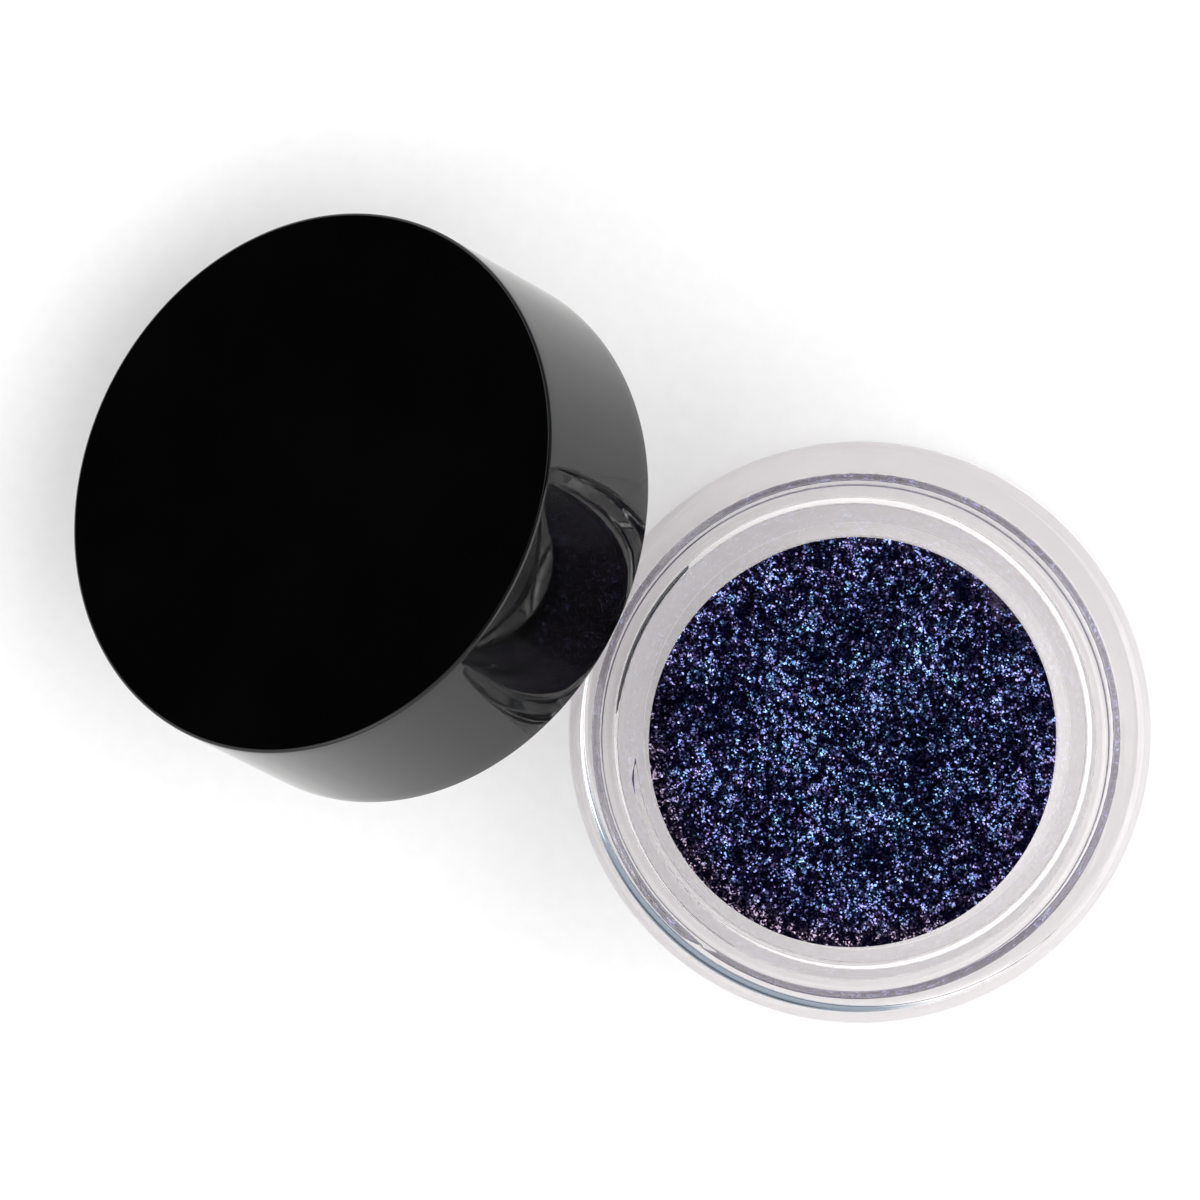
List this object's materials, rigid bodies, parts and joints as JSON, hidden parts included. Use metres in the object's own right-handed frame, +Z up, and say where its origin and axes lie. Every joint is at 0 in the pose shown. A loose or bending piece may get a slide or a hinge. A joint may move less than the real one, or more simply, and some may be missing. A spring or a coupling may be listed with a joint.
{
  "type": "glass eyeshadow pot with screw cap",
  "caption": "Thick-walled clear glass pot of dark glitter eyeshadow, open, with its glossy black screw cap leaning on the pot's shoulder.",
  "frame": {"origin": "middle of the pot's flat underside, on the pot's axis", "axes": "+Z up along the pot's axis; -X from the pot towards the leaning cap"},
  "size_m": [0.077, 0.0447, 0.0324],
  "materials": {
    "clear_glass": "clear, fire-polished",
    "glitter_eyeshadow": "lumpy dark navy and violet glitter",
    "black_gloss_plastic": "smooth high gloss",
    "white_foam": "fine closed-cell foam"
  },
  "bodies": {
    "jar": {"glass_jar": "clear_glass", "eyeshadow": "glitter_eyeshadow"},
    "liner": {"cap_liner": "white_foam"},
    "cap": {"screw_cap": "black_gloss_plastic"}
  },
  "joints": [
    {"name": "cap_tip", "type": "hinge", "parent": "jar", "child": "liner", "pos_m": [-0.04975, -0.00535, 0], "axis": [0, -1, 0], "range_deg": [0, 56]},
    {"name": "cap_turn", "type": "hinge", "parent": "liner", "child": "cap", "pos_m": [-0.03375, -0.00535, 0.01079], "axis": [-0.5592, 0, 0.829], "continuous": true}
  ]
}
